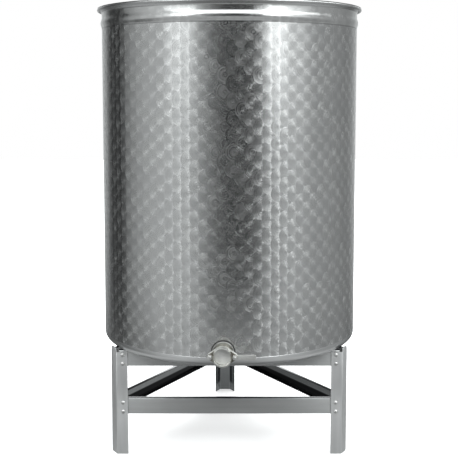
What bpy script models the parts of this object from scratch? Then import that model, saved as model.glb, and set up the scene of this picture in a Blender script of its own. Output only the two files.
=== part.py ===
"""Vertical storage tank of marbled stainless steel, with a gate valve, on a bolted three-legged stand.

Units are metres and +Z is up. The valve faces -Y. The origin is on the floor, in the middle of the
whole object's plan.
"""

import math

import bmesh
import bpy
from mathutils import Matrix, Vector

# Fits and mesh making
SEAT_GAP = 0.0003            # between pieces that touch
SEGMENTS = 72                # facets round the tank
FINE_SEGMENTS = 36           # facets round the valve's turned pieces
BOLT_SEGMENTS = 16           # facets round a bolt's shank
SHARP_DEGREES = 35           # edges steeper than this stay sharp
CUT_PAST = 0.001             # a cutter's reach past the face it opens
UNION_DEPTH = 0.002          # how far a joined body starts inside its neighbour

# Tank
SHELL_RADIUS = 0.400
SHELL_SHEET = 0.0012
RIM_TOP = 1.359
BEAD_LOW = 1.296
BEAD_HIGH = 1.332
BEAD_DEPTH = 0.0038
BEAD_STEPS = 6
NECK_TOP = 1.343
CURL_RADIUS = 0.0045
CURL_OFFSET = 0.0095         # curl's centre outside the shell
CURL_END_DEGREES = -120
CURL_STEPS = 8
PAN_CORNER = 0.022
PAN_CORNER_STEPS = 5
PAN_HEIGHT = 0.027

# Lid
LID_SHEET = 0.0012
LID_OVERHANG = 0.0125
LID_STEP_RADIUS = 0.3925
LID_STEP_DEPTH = 0.006
LID_STEP_FOOT = 0.010        # flat ring inside the step
LID_STEP_SLOPE = 0.0015
LID_RISE = 0.012
LID_CROWN_RADIUS = 0.030
KNOB_RADIUS = 0.0215
KNOB_HEIGHT = 0.040
KNOB_STEM_RADIUS = 0.010
KNOB_STEM_HEIGHT = 0.010
KNOB_FOOT_FLARE = 0.003
KNOB_FOOT_HEIGHT = 0.004
KNOB_EDGE_ROUND = 0.0035     # head's lower edge
KNOB_EDGE_HEIGHT = 0.018
KNOB_UNDERSIDE_HEIGHT = 0.0135
KNOB_CROWN_ROUND = 0.009     # head's upper edge

# Stand
STAND_CORNER = 0.4389        # from the tank's axis to where two sides of the stand would meet
BACK_LEG_SHIFT = -0.017
LEG_WEB = 0.037
LEG_FLANGE = 0.034
STAND_SHEET = 0.002
FOLD_RADIUS = 0.004
LEG_FLANGE_TOP = 0.319
LEG_WEB_TOP = 0.332
WEB_TOP_ROUND = 0.008
WEB_TOP_STEPS = 4
RAIL_HEIGHT = 0.050
RAIL_FLANGE = 0.015
RAIL_INSET = 0.045           # from the stand's corner to the rail's end
UPPER_RAIL_TOP = 0.3242
LOWER_RAIL_TOP = 0.175

# Valve, with distances outwards from the flat of the shell that carries it
VALVE_HEIGHT = 0.3695
VALVE_TURN = math.radians(-2.5)
BORE_RADIUS = 0.019
SPIGOT_RADIUS = 0.0239
SPIGOT_INNER_END = -0.017
SPIGOT_OUTER_END = 0.028
WALL_HOLE_REACH = 0.020      # hole's cutter, to both sides of the wall
GASKET_RADIUS = 0.035
GASKET_BACK = -0.003
GASKET_FRONT = 0.0035
RING_NUT_RADIUS = 0.0318
RING_NUT_FRONT = 0.012
RING_NUT_CHAMFER = 0.0015
WASHER_RADIUS = 0.029
WASHER_BACK = -0.006
WASHER_FRONT = 0.001
LOCK_NUT_FLATS = 0.060
LOCK_NUT_BACK = -0.014
NECK_RADIUS = 0.026
PLATE_RADIUS = 0.0275
EAR_OFFSET = 0.0345
EAR_RADIUS = 0.0080
REAR_PLATE_BACK = 0.0336
REAR_PLATE_FRONT = 0.0393
BLADE_BACK = 0.0396
BLADE_FRONT = 0.0436
BLADE_RADIUS = 0.0262
BLADE_EAR_RADIUS = 0.0076
LEVER_TIP = 0.0945
LEVER_TOP = 0.0047
LEVER_BOTTOM = -0.0097
LEVER_ROUND = 0.005
SLOT_HALF_WIDTH = 0.0052
SLOT_REACH = 0.020
FRONT_PLATE_BACK = 0.0439
FRONT_PLATE_FRONT = 0.0499
COLLAR_RADIUS = 0.0276
COLLAR_BORE = 0.0228
COLLAR_FRONT = 0.0620
COLLAR_CHAMFER = 0.0012
BOLT_RADIUS = 0.004
BOLT_HEAD_HEIGHT = 0.0052
BOLT_END = 0.0592
NUT_FLATS = 0.013
NUT_HEIGHT = 0.0066

# Derived places
FACET_RADIUS = SHELL_RADIUS * math.cos(math.pi / SEGMENTS)
TANK_BASE = UPPER_RAIL_TOP + SEAT_GAP
BAND_TOP = TANK_BASE + PAN_HEIGHT
CURL_CENTRE = RIM_TOP - CURL_RADIUS
RIM_RADIUS = SHELL_RADIUS + CURL_OFFSET + CURL_RADIUS
LID_TOP = RIM_TOP + LID_RISE
VALVE_REACH = ((FACET_RADIUS + COLLAR_FRONT) * math.cos(VALVE_TURN)
               - (COLLAR_RADIUS - COLLAR_CHAMFER) * math.sin(VALVE_TURN))
TANK_Y = (VALVE_REACH - RIM_RADIUS) / 2

# Surfaces, each with its colour, roughness and metallic value
LOOKS = {
    "marbled_steel": ((0.62, 0.62, 0.61), 0.30, 1.0),
    "smooth_steel": ((0.60, 0.60, 0.59), 0.32, 1.0),
    "valve_steel": ((0.55, 0.55, 0.52), 0.38, 1.0),
    "blade_steel": ((0.58, 0.58, 0.55), 0.30, 1.0),
    "bolt_steel": ((0.60, 0.60, 0.58), 0.28, 1.0),
    "stand_steel": ((0.45, 0.46, 0.46), 0.45, 1.0),
    "black_rubber": ((0.03, 0.03, 0.03), 0.70, 0.0),
    "grey_plastic": ((0.30, 0.31, 0.32), 0.50, 0.0),
}


def clear_scene():
    """Empty the scene."""
    for obj in list(bpy.data.objects):
        bpy.data.objects.remove(obj)


def material(name):
    """Plain material with a colour, a roughness and a metallic value."""
    colour, roughness, metallic = LOOKS[name]
    mat = bpy.data.materials.new(name)
    mat.use_nodes = True
    shader = mat.node_tree.nodes["Principled BSDF"]
    shader.inputs["Base Color"].default_value = (*colour, 1.0)
    shader.inputs["Roughness"].default_value = roughness
    shader.inputs["Metallic"].default_value = metallic
    return mat


def empty(name, location, rotation=(0, 0, 0)):
    """Empty that places the pieces parented to it."""
    obj = bpy.data.objects.new(name, None)
    obj.location = location
    obj.rotation_euler = rotation
    bpy.context.scene.collection.objects.link(obj)
    return obj


def add_object(name, bm, mat, parent=None, location=(0, 0, 0), smooth=True):
    """Object from a bmesh, shaded smooth where the surface is round."""
    bmesh.ops.recalc_face_normals(bm, faces=bm.faces)
    mesh = bpy.data.meshes.new(name)
    bm.to_mesh(mesh)
    bm.free()
    if smooth:
        mesh.shade_smooth()
        mesh.set_sharp_from_angle(angle=math.radians(SHARP_DEGREES))
    if mat:
        mesh.materials.append(mat)
    obj = bpy.data.objects.new(name, mesh)
    obj.parent = parent
    obj.location = location
    bpy.context.scene.collection.objects.link(obj)
    return obj


def cutter(name, bm, parent=None, location=(0, 0, 0)):
    """Guide body that only shapes other pieces."""
    obj = add_object(name, bm, None, parent, location, smooth=False)
    obj.hide_render = True
    obj.display_type = "WIRE"
    return obj


def cut(obj, tool, operation="DIFFERENCE"):
    """Boolean of one object with another."""
    modifier = obj.modifiers.new(operation.lower(), "BOOLEAN")
    modifier.operation = operation
    modifier.object = tool
    modifier.solver = "EXACT"


# Outlines

def arc(centre, radius, start, end, steps):
    """Points along a circle from one angle to another, in degrees."""
    angles = [math.radians(start + (end - start) * i / steps) for i in range(steps + 1)]
    return [(centre[0] + radius * math.cos(a), centre[1] + radius * math.sin(a)) for a in angles]


def sheet_outline(path, thickness):
    """Closed outline of a sheet whose middle follows the path."""
    points = [Vector(p) for p in path]
    steps = [(b - a).normalized() for a, b in zip(points, points[1:])]
    left, right = [], []
    for i, point in enumerate(points):
        before = steps[max(i - 1, 0)]
        after = steps[min(i, len(steps) - 1)]
        along = (before + after).normalized()
        normal = Vector((-along.y, along.x))
        offset = normal * thickness / 2 / along.dot(after)
        left.append(tuple(point + offset))
        right.append(tuple(point - offset))
    return left + right[::-1]


def lozenge(disc_radius, ear_radius, steps=8):
    """Outline of a round plate with two small ears, joined by tangent lines."""
    tangent = math.degrees(math.acos((disc_radius - ear_radius) / EAR_OFFSET))
    top = arc((0, 0), disc_radius, tangent, 180 - tangent, steps)
    left = arc((-EAR_OFFSET, 0), ear_radius, 180 - tangent, 180 + tangent, steps)
    bottom = arc((0, 0), disc_radius, 180 + tangent, 360 - tangent, steps)
    right = arc((EAR_OFFSET, 0), ear_radius, -tangent, tangent, steps)
    return top + left + bottom + right


def hexagon(flats, turn=30):
    """Corners of a hexagon with the given width across its flats."""
    return arc((0, 0), flats / math.sqrt(3), turn, turn + 300, 5)


def folded_path(corners, radius, steps=3):
    """Outer face of a folded sheet: points along it, each with the direction into the sheet."""
    corners = [Vector(c) for c in corners]
    along = [(b - a).normalized() for a, b in zip(corners, corners[1:])]
    turn_sign = math.copysign(1, along[0].x * along[1].y - along[0].y * along[1].x)
    inward = [Vector((-d.y, d.x)) * turn_sign for d in along]
    path = [(corners[0], inward[0])]
    for i, corner in enumerate(corners[1:-1]):
        before, after = inward[i], inward[i + 1]
        half = before.angle(after) / 2
        middle = (before + after).normalized()
        centre = corner + middle * radius / math.cos(half)
        for k in range(steps + 1):
            normal = before.slerp(after, k / steps).normalized()
            path.append((centre - normal * radius, normal))
    path.append((corners[-1], inward[-1]))
    return path


# Bodies

def turned(profile, segments):
    """Body turned about Z from a closed outline of (radius, height) points."""
    bm = bmesh.new()
    verts = [bm.verts.new((r, 0, z)) for r, z in profile]
    edges = [bm.edges.new(pair) for pair in zip(verts, verts[1:] + verts[:1])]
    bmesh.ops.spin(bm, geom=verts + edges, cent=(0, 0, 0), axis=(0, 0, 1),
                   angle=2 * math.pi, steps=segments, use_merge=True)
    bmesh.ops.remove_doubles(bm, verts=bm.verts, dist=1e-6)
    bmesh.ops.dissolve_degenerate(bm, edges=bm.edges, dist=1e-7)
    return bm


def tube_profile(inner, outer, low, high, chamfer=0.0):
    """Outline of a ring, with an optional chamfer on its outer top edge."""
    if not chamfer:
        return [(inner, low), (outer, low), (outer, high), (inner, high)]
    return [(inner, low), (outer, low), (outer, high - chamfer), (outer - chamfer, high), (inner, high)]


def extrude_faces(bm, faces, move):
    """Extrude faces along a vector and return the moved faces."""
    made = bmesh.ops.extrude_face_region(bm, geom=faces)["geom"]
    bmesh.ops.translate(bm, verts=[v for v in made if isinstance(v, bmesh.types.BMVert)], vec=move)
    return [f for f in made if isinstance(f, bmesh.types.BMFace)]


def prism(outline, low, high):
    """Body extruded along Z from a closed XY outline."""
    bm = bmesh.new()
    verts = [bm.verts.new((x, y, low)) for x, y in outline]
    bmesh.ops.remove_doubles(bm, verts=verts, dist=1e-6)
    face = bm.faces.new([v for v in bm.verts])
    extrude_faces(bm, [face], (0, 0, high - low))
    return bm


def cylinder(radius, low, high, centre=(0, 0), segments=FINE_SEGMENTS):
    """Upright cylinder between two heights."""
    return prism(arc(centre, radius, 0, 360 * (segments - 1) / segments, segments - 1), low, high)


def joined(*bodies):
    """One bmesh that holds several separate bodies."""
    whole = bodies[0]
    for body in bodies[1:]:
        mesh = bpy.data.meshes.new("joined")
        body.to_mesh(mesh)
        body.free()
        whole.from_mesh(mesh)
        bpy.data.meshes.remove(mesh)
    return whole


def sheet_strip(bm, path, thickness, place):
    """Faces across a folded sheet's thickness, one for each step along its path."""
    outer = [bm.verts.new(place(p)) for p, n in path]
    inner = [bm.verts.new(place(p + n * thickness)) for p, n in path]
    rows = zip(outer, outer[1:], inner[1:], inner)
    return [bm.faces.new(row) for row in rows]


# Tank

def shell_path():
    """Middle of the wall's sheet, from the bottom seam to the end of the rolled rim."""
    radius = SHELL_RADIUS - SHELL_SHEET / 2
    path = [(radius, BAND_TOP + SEAT_GAP)]
    for i in range(BEAD_STEPS + 1):
        share = i / BEAD_STEPS
        swell = BEAD_DEPTH * (1 - math.cos(2 * math.pi * share)) / 2
        path.append((radius + swell, BEAD_LOW + (BEAD_HIGH - BEAD_LOW) * share))
    path.append((radius, NECK_TOP))
    curl_middle = CURL_RADIUS - SHELL_SHEET / 2
    flare = SHELL_RADIUS + CURL_OFFSET - curl_middle - radius
    path.append((radius + flare / 2, (NECK_TOP + CURL_CENTRE) / 2))
    centre = (SHELL_RADIUS + CURL_OFFSET, CURL_CENTRE)
    path += arc(centre, curl_middle, 180, CURL_END_DEGREES, CURL_STEPS)
    return path


def pan_corner(offset):
    """Rounded lower corner of the tank's outside, grown or shrunk by the offset."""
    centre = (SHELL_RADIUS - PAN_CORNER, TANK_BASE + PAN_CORNER)
    return arc(centre, PAN_CORNER + offset, -90, 0, PAN_CORNER_STEPS)


def tank_former(name, offset, axis):
    """Guide body as large as the lower tank's outside, grown or shrunk by the offset."""
    top = VALVE_HEIGHT + 2 * GASKET_RADIUS
    outline = [(0, TANK_BASE - offset)] + pan_corner(offset)
    outline += [(SHELL_RADIUS + offset, top), (0, top)]
    return cutter(name, turned(outline, SEGMENTS), axis)


def make_tank(axis, marbled, smooth_steel):
    """Wall with its bead and rolled rim, and the pan under it."""
    wall = turned(sheet_outline(shell_path(), SHELL_SHEET), SEGMENTS)
    shell = add_object("tank_shell", wall, marbled, axis)
    middle = SHELL_SHEET / 2
    path = [(0, TANK_BASE + middle)] + pan_corner(-middle) + [(SHELL_RADIUS - middle, BAND_TOP)]
    dish = turned(sheet_outline(path, SHELL_SHEET), SEGMENTS)
    pan = add_object("tank_bottom", dish, smooth_steel, axis)
    return shell, pan


def make_lid(axis, steel, plastic):
    """Loose lid that rests on the rim, and its knob."""
    flange = RIM_TOP + SEAT_GAP + LID_SHEET / 2
    path = [
        (0, LID_TOP),
        (LID_CROWN_RADIUS, LID_TOP),
        (LID_STEP_RADIUS - LID_STEP_FOOT, RIM_TOP - LID_STEP_DEPTH),
        (LID_STEP_RADIUS - LID_SHEET / 2, RIM_TOP - LID_STEP_DEPTH),
        (LID_STEP_RADIUS + LID_STEP_SLOPE, flange),
        (SHELL_RADIUS + LID_OVERHANG, flange),
    ]
    add_object("lid", turned(sheet_outline(path, LID_SHEET), SEGMENTS), steel, axis)
    base = LID_TOP + LID_SHEET / 2 + SEAT_GAP
    knob = [
        (0, base),
        (KNOB_STEM_RADIUS + KNOB_FOOT_FLARE, base),
        (KNOB_STEM_RADIUS, base + KNOB_FOOT_HEIGHT),
        (KNOB_STEM_RADIUS, base + KNOB_STEM_HEIGHT),
        (KNOB_RADIUS - KNOB_EDGE_ROUND, base + KNOB_UNDERSIDE_HEIGHT),
    ]
    edge = (KNOB_RADIUS - KNOB_EDGE_ROUND, base + KNOB_EDGE_HEIGHT)
    crown = (KNOB_RADIUS - KNOB_CROWN_ROUND, base + KNOB_HEIGHT - KNOB_CROWN_ROUND)
    knob += arc(edge, KNOB_EDGE_ROUND, -60, 0, 3)
    knob += arc(crown, KNOB_CROWN_ROUND, 0, 90, 5)
    knob += [(0, base + KNOB_HEIGHT)]
    add_object("lid_knob", turned(knob, FINE_SEGMENTS), plastic, axis)


# Stand

def stand_corners():
    """Plan corners of the stand, where the outer faces of its sides would meet."""
    side = STAND_CORNER * math.sqrt(3) / 2
    front_left = Vector((-side, -STAND_CORNER / 2))
    front_right = Vector((side, -STAND_CORNER / 2))
    back = Vector((BACK_LEG_SHIFT, STAND_CORNER))
    return {"front_left": front_left, "front_right": front_right, "back": back}


def make_leg(name, corner, neighbours, axis, steel):
    """Folded leg: a web across the stand's corner, with a flange along each side."""
    along = [(n - corner).normalized() for n in neighbours]
    outline = [corner + along[0] * (LEG_WEB + LEG_FLANGE), corner + along[0] * LEG_WEB,
               corner + along[1] * LEG_WEB, corner + along[1] * (LEG_WEB + LEG_FLANGE)]
    path = folded_path(outline, FOLD_RADIUS)
    bm = bmesh.new()
    strip = sheet_strip(bm, path, STAND_SHEET, lambda p: (p.x, p.y, 0))
    tops = extrude_faces(bm, strip, (0, 0, LEG_FLANGE_TOP))
    middle = (outline[1] + outline[2]) / 2
    web = min(tops, key=lambda f: (f.calc_center_median().xy - middle).length)
    upstand = extrude_faces(bm, [web], (0, 0, LEG_WEB_TOP - LEG_FLANGE_TOP))[0]
    bmesh.ops.delete(bm, geom=[web], context="FACES_ONLY")
    ends = sorted(upstand.edges, key=lambda e: e.calc_length())[:2]
    bmesh.ops.bevel(bm, geom=ends, offset=WEB_TOP_ROUND, segments=WEB_TOP_STEPS, profile=0.5,
                    affect="EDGES")
    add_object(name, bm, steel, axis)


def make_rail(name, start, end, top, axis, steel):
    """Channel rail along one side of the stand, with its flanges turned inwards."""
    along = (end - start).normalized()
    inward = Vector((-along.y, along.x))
    if inward.dot(-start) < 0:
        inward = -inward
    offset = STAND_SHEET + SEAT_GAP
    first = start + along * RAIL_INSET + inward * offset
    length = (end - start).length - 2 * RAIL_INSET
    low = top - RAIL_HEIGHT
    section = [(RAIL_FLANGE, top), (0, top), (0, low), (RAIL_FLANGE, low)]

    def place(point):
        plan = first + inward * point.x
        return (plan.x, plan.y, point.y)

    bm = bmesh.new()
    strip = sheet_strip(bm, folded_path(section, FOLD_RADIUS), STAND_SHEET, place)
    extrude_faces(bm, strip, (along.x * length, along.y * length, 0))
    add_object(name, bm, steel, axis)


def make_stand(axis, steel):
    """Three legs and two tiers of three rails."""
    corners = stand_corners()
    for name, corner in corners.items():
        neighbours = [c for other, c in corners.items() if other != name]
        make_leg("leg_" + name, corner, neighbours, axis, steel)
    sides = {
        "front": ("front_left", "front_right"),
        "right": ("front_right", "back"),
        "left": ("back", "front_left"),
    }
    for tier, top in (("upper", UPPER_RAIL_TOP), ("lower", LOWER_RAIL_TOP)):
        for side, (first, last) in sides.items():
            make_rail(f"{tier}_rail_{side}", corners[first], corners[last], top, axis, steel)


# Valve

def make_outlet(frame, axis, walls, steel, rubber):
    """Threaded stub through the wall, with its nuts and washers."""
    clear = SPIGOT_RADIUS + SEAT_GAP
    hole = cutter("wall_hole", cylinder(clear, -WALL_HOLE_REACH, WALL_HOLE_REACH), frame)
    for wall in walls:
        cut(wall, hole)
    stub = tube_profile(BORE_RADIUS, SPIGOT_RADIUS, SPIGOT_INNER_END, SPIGOT_OUTER_END)
    add_object("outlet_spigot", turned(stub, FINE_SEGMENTS), steel, frame)

    facet_gap = SEAT_GAP / math.cos(math.pi / SEGMENTS)
    outside = tank_former("tank_outside", facet_gap, axis)
    inside = tank_former("tank_inside", -SHELL_SHEET - facet_gap, axis)
    gasket = turned(tube_profile(clear, GASKET_RADIUS, GASKET_BACK, GASKET_FRONT), FINE_SEGMENTS)
    cut(add_object("outer_gasket", gasket, rubber, frame), outside)
    washer = turned(tube_profile(clear, WASHER_RADIUS, WASHER_BACK, WASHER_FRONT), FINE_SEGMENTS)
    cut(add_object("inner_washer", washer, rubber, frame), inside, "INTERSECT")

    ring_back = GASKET_FRONT + SEAT_GAP
    ring = tube_profile(clear, RING_NUT_RADIUS, ring_back, RING_NUT_FRONT, RING_NUT_CHAMFER)
    add_object("ring_nut", turned(ring, FINE_SEGMENTS), steel, frame)
    nut_low, nut_high = LOCK_NUT_BACK, WASHER_BACK - SEAT_GAP
    lock_nut = add_object("lock_nut", prism(hexagon(LOCK_NUT_FLATS), nut_low, nut_high), steel, frame)
    nut_hole = cylinder(clear, nut_low - CUT_PAST, nut_high + CUT_PAST)
    cut(lock_nut, cutter("lock_nut_hole", nut_hole, frame))


def make_valve_body(frame, steel):
    """Neck with the rear plate, and front plate with the outlet collar."""
    clear = SPIGOT_RADIUS + SEAT_GAP
    plate = lozenge(PLATE_RADIUS, EAR_RADIUS)
    neck_start = RING_NUT_FRONT + SEAT_GAP
    neck = add_object("valve_neck", prism(plate, REAR_PLATE_BACK, REAR_PLATE_FRONT), steel, frame)
    neck_body = cylinder(NECK_RADIUS, neck_start, REAR_PLATE_BACK + UNION_DEPTH)
    cut(neck, cutter("neck_body", neck_body, frame), "UNION")
    shoulder = SPIGOT_OUTER_END + SEAT_GAP
    back, face = neck_start - CUT_PAST, REAR_PLATE_FRONT + CUT_PAST
    bore = [(0, back), (clear, back), (clear, shoulder), (BORE_RADIUS, shoulder), (BORE_RADIUS, face),
            (0, face)]
    cut(neck, cutter("neck_bore", turned(bore, FINE_SEGMENTS), frame))

    front = add_object("front_plate", prism(plate, FRONT_PLATE_BACK, FRONT_PLATE_FRONT), steel, frame)
    collar_start = FRONT_PLATE_BACK + UNION_DEPTH
    collar = tube_profile(0, COLLAR_RADIUS, collar_start, COLLAR_FRONT, COLLAR_CHAMFER)
    cut(front, cutter("collar_body", turned(collar, FINE_SEGMENTS), frame), "UNION")
    mouth = cylinder(COLLAR_BORE, FRONT_PLATE_BACK - CUT_PAST, COLLAR_FRONT + CUT_PAST)
    cut(front, cutter("collar_bore", mouth, frame))

    low, high = REAR_PLATE_BACK - CUT_PAST, FRONT_PLATE_FRONT + CUT_PAST
    pair = [cylinder(BOLT_RADIUS + SEAT_GAP, low, high, (side * EAR_OFFSET, 0), BOLT_SEGMENTS)
            for side in (-1, 1)]
    holes = cutter("ear_holes", joined(*pair), frame)
    cut(neck, holes)
    cut(front, holes)


def blade_outline():
    """Outline of the blade about its pivot: round disc, slotted ear on the left, lever on the right."""
    tangent = math.degrees(math.acos((BLADE_RADIUS - BLADE_EAR_RADIUS) / EAR_OFFSET))
    start, end = (Vector(arc(c, r, -tangent, -tangent, 1)[0])
                  for c, r in (((-EAR_OFFSET, 0), BLADE_RADIUS), ((0, 0), BLADE_EAR_RADIUS)))
    lever_foot = start.lerp(end, (LEVER_BOTTOM - start.y) / (end.y - start.y))
    lever_head = math.degrees(math.asin(LEVER_TOP / BLADE_EAR_RADIUS))
    tip = LEVER_TIP - EAR_OFFSET - LEVER_ROUND
    outline = arc((-EAR_OFFSET, 0), BLADE_RADIUS, tangent, 180 - tangent, 8)
    outline += arc((-2 * EAR_OFFSET, 0), BLADE_EAR_RADIUS, 180 - tangent, 180 + tangent, 8)
    outline += arc((-EAR_OFFSET, 0), BLADE_RADIUS, 180 + tangent, 360 - tangent, 8)
    outline += [tuple(lever_foot)]
    outline += arc((tip, LEVER_BOTTOM + LEVER_ROUND), LEVER_ROUND, -90, 0, 4)
    outline += arc((tip, LEVER_TOP - LEVER_ROUND), LEVER_ROUND, 0, 90, 4)
    outline += arc((0, 0), BLADE_EAR_RADIUS, lever_head, tangent, 3)
    return outline


def make_blade(frame, steel):
    """Gate blade with its lever, which turns on the right ear's bolt."""
    pivot = empty("blade_pivot", (EAR_OFFSET, 0, 0))
    pivot.parent = frame
    blade = add_object("gate_blade", prism(blade_outline(), BLADE_BACK, BLADE_FRONT), steel, pivot)
    low, high = BLADE_BACK - CUT_PAST, BLADE_FRONT + CUT_PAST
    pin_hole = cylinder(BOLT_RADIUS + SEAT_GAP, low, high, segments=BOLT_SEGMENTS)
    cut(blade, cutter("blade_pin_hole", pin_hole, pivot))
    slot_x = -2 * EAR_OFFSET
    slot = arc((slot_x, 0), SLOT_HALF_WIDTH, 0, 180, 8)
    slot += [(slot_x + side * SLOT_HALF_WIDTH, -SLOT_REACH) for side in (-1, 1)]
    cut(blade, cutter("blade_slot", prism(slot, low, high), pivot))


def make_bolts(frame, steel):
    """Bolts and nuts of the two ears."""
    head_top = REAR_PLATE_BACK - SEAT_GAP
    nut_base = FRONT_PLATE_FRONT + SEAT_GAP
    for name, side in (("pivot", 1), ("clamp", -1)):
        place = (side * EAR_OFFSET, 0, 0)
        head = prism(hexagon(NUT_FLATS), head_top - BOLT_HEAD_HEIGHT, head_top)
        bolt = add_object(name + "_bolt", head, steel, frame, place)
        shank = cylinder(BOLT_RADIUS, head_top - UNION_DEPTH, BOLT_END, segments=BOLT_SEGMENTS)
        cut(bolt, cutter(name + "_shank", shank, frame, place), "UNION")
        nut_body = prism(hexagon(NUT_FLATS), nut_base, nut_base + NUT_HEIGHT)
        nut = add_object(name + "_nut", nut_body, steel, frame, place)
        hole = cylinder(BOLT_RADIUS + SEAT_GAP, nut_base - CUT_PAST, nut_base + NUT_HEIGHT + CUT_PAST,
                        segments=BOLT_SEGMENTS)
        cut(nut, cutter(name + "_nut_hole", hole, frame, place))


def main():
    """Build the whole tank."""
    clear_scene()
    mats = {name: material(name) for name in LOOKS}
    axis = empty("tank_axis", (0, TANK_Y, 0))
    outward = Matrix.Rotation(VALVE_TURN, 3, "Z") @ Vector((0, -FACET_RADIUS, VALVE_HEIGHT))
    frame = empty("valve_frame", outward, (math.radians(90), 0, VALVE_TURN))
    frame.parent = axis

    walls = make_tank(axis, mats["marbled_steel"], mats["smooth_steel"])
    make_lid(axis, mats["marbled_steel"], mats["grey_plastic"])
    make_stand(axis, mats["stand_steel"])
    make_outlet(frame, axis, walls, mats["valve_steel"], mats["black_rubber"])
    make_valve_body(frame, mats["valve_steel"])
    make_blade(frame, mats["blade_steel"])
    make_bolts(frame, mats["bolt_steel"])


main()
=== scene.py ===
"""Looks of the marbled steel storage tank: fine surfaces, finishes, light and camera.

Units are metres, in the part's own frame: +Z up, the valve towards -Y, the origin on the floor.
"""

import math

import bmesh
import bpy
from mathutils import Matrix, Vector


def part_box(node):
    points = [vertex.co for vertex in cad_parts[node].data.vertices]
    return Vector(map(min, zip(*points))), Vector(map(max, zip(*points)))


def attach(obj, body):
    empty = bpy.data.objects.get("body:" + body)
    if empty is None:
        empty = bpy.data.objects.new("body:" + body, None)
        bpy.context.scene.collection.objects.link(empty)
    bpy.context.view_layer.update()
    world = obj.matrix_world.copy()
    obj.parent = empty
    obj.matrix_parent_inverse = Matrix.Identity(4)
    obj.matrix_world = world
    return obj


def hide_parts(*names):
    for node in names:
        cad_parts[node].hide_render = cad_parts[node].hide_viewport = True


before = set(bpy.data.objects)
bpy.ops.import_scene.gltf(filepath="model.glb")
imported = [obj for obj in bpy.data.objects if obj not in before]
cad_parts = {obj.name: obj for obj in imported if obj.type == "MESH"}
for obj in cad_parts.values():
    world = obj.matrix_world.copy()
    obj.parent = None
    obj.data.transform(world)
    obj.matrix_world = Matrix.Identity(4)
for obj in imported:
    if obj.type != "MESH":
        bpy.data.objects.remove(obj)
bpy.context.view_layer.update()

# Mesh making
ROUND = 288  # facets round the tank
FINE = 96  # facets round the valve's turned pieces
PLATE_FACETS = 240  # facets round the valve's plates
CAD_FACETS = 72
SHARP_DEGREES = 32
SEAT_GAP = 0.0003  # between pieces that touch
FACING = 0.3  # a face looks a way if its normal leans this far to it
UPWARD = 0.5
QUARTER = [(1 - math.sin(a), 1 - math.cos(a)) for a in (math.radians(22.5 * k) for k in range(5))]
HEX_FACE = 0.94  # radius of a nut's round face, in halves of its flats
HEX_SLOPE = math.tan(math.radians(28))
HEX_DROP = 0.0002
HEX_RELIEF = 0.0003

# Tank
SHELL_RADIUS = 0.400
SHEET = 0.0012
BAND_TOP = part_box("tank_bottom")[1].z
TANK_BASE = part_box("tank_bottom")[0].z
RIM_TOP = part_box("tank_shell")[1].z
TANK_Y = (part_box("tank_shell")[0].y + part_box("tank_shell")[1].y) / 2
BEAD_LOW = 1.296
BEAD_HIGH = 1.332
BEAD_DEPTH = 0.0038
NECK_TOP = 1.343
CURL_RADIUS = 0.0045
CURL_OFFSET = 0.0095  # curl's centre outside the shell
CURL_END_DEGREES = -120
PAN_CORNER = 0.022
SEAM_AZIMUTH = math.radians(48.6)
SEAM_WIDTH = 0.0032
SEAM_HEIGHT = 0.00035
SEAM_SINK = 0.0002
SEAM_RIPPLE = 0.004  # from ripple to ripple, up the seam
SEAM_ROWS = 400
WELD_RADIUS = 0.0006  # the weld along the pan's top
WELD_HEIGHT = 0.0008
WELD_SINK = 0.0003
WELD_RIPPLES = 200
WELD_GAP = 0.08  # radians left free on each side of the valve

# Marbling
SPOT_RADIUS = 0.0262
SPOT_SPACING = 0.0516  # round the shell, from column to column
SPOT_PITCH = 0.0475  # up the shell, from row to row
SPOT_TURN = 0.29  # lattice offset round the shell, in columns
SPOT_LIFT = 0.735  # lattice offset up the shell, in rows
SPOT_SKEW = -0.10  # rows that a column climbs per radian round the shell
SPOT_JITTER = 0.0009
SPOT_RIM = 0.0012
LID_PITCH = 0.052

# Lid
LID_STEP_RADIUS = 0.3925
LID_STEP_DEPTH = 0.006
LID_RISE = 0.012
LID_CROWN_RADIUS = 0.030
LID_BULGE = 0.0012
LID_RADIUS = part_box("lid")[1].x
KNOB_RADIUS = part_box("lid_knob")[1].x
KNOB_HEIGHT = 0.040
KNOB_CROWN = 0.009
KNOB_FLUTES = 12
KNOB_FLUTE_DEPTH = 0.0016
KNOB_DISH = ((0.0080, 0.0), (0.0074, 0.0005), (0.0, 0.0005))  # radius, depth under the top
KNOB_STEM = (
    # radius, height
    (0.0, 0.0), (0.0125, 0.0), (0.0130, 0.0006), (0.0112, 0.0030), (0.0100, 0.0050), (0.0100, 0.0100),
    (0.0110, 0.0115), (0.0150, 0.0128),
)
KNOB_GRIP = [(0.0188, 0.0004, 0.0140), (0.0206, 0.0011, 0.0156)]  # radius, flutes' depth, height
KNOB_GRIP += [(KNOB_RADIUS, KNOB_FLUTE_DEPTH, z) for z in (0.0180, 0.0220, 0.0260, 0.0300)]

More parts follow.
